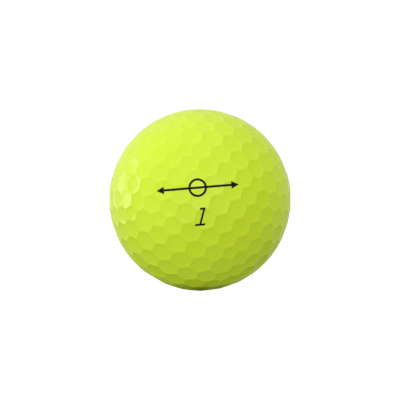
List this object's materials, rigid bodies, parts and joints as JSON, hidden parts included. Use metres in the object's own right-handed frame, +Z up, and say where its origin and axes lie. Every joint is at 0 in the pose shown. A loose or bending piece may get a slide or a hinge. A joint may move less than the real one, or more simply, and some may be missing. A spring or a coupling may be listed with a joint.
{
  "type": "golf ball",
  "caption": "Dimpled yellow golf ball: rubber core, stiff casing in two half shells, thin cover in two halves, black alignment marks and play numbers.",
  "frame": {"origin": "centre of the ball", "axes": "+Z up as the ball is shown, -Y out of the printed front pole, +Y out of the rear pole, +X to the right seen from the front; the cover's seam runs round near the plane y = 0"},
  "size_m": [0.0427, 0.0427, 0.0426],
  "materials": {
    "core_rubber": "matt moulded rubber",
    "casing_plastic": "satin",
    "cover_plastic": "gloss clear coat",
    "ink": "printed ink under clear coat"
  },
  "bodies": {
    "root": {"core": "core_rubber", "casing_left": "casing_plastic", "casing_right": "casing_plastic", "cover_front": "cover_plastic", "cover_rear": "cover_plastic", "front_alignment_mark": "ink", "front_play_number": "ink", "rear_alignment_mark": "ink", "rear_play_number": "ink", "side_stamp": "ink"}
  },
  "joints": []
}
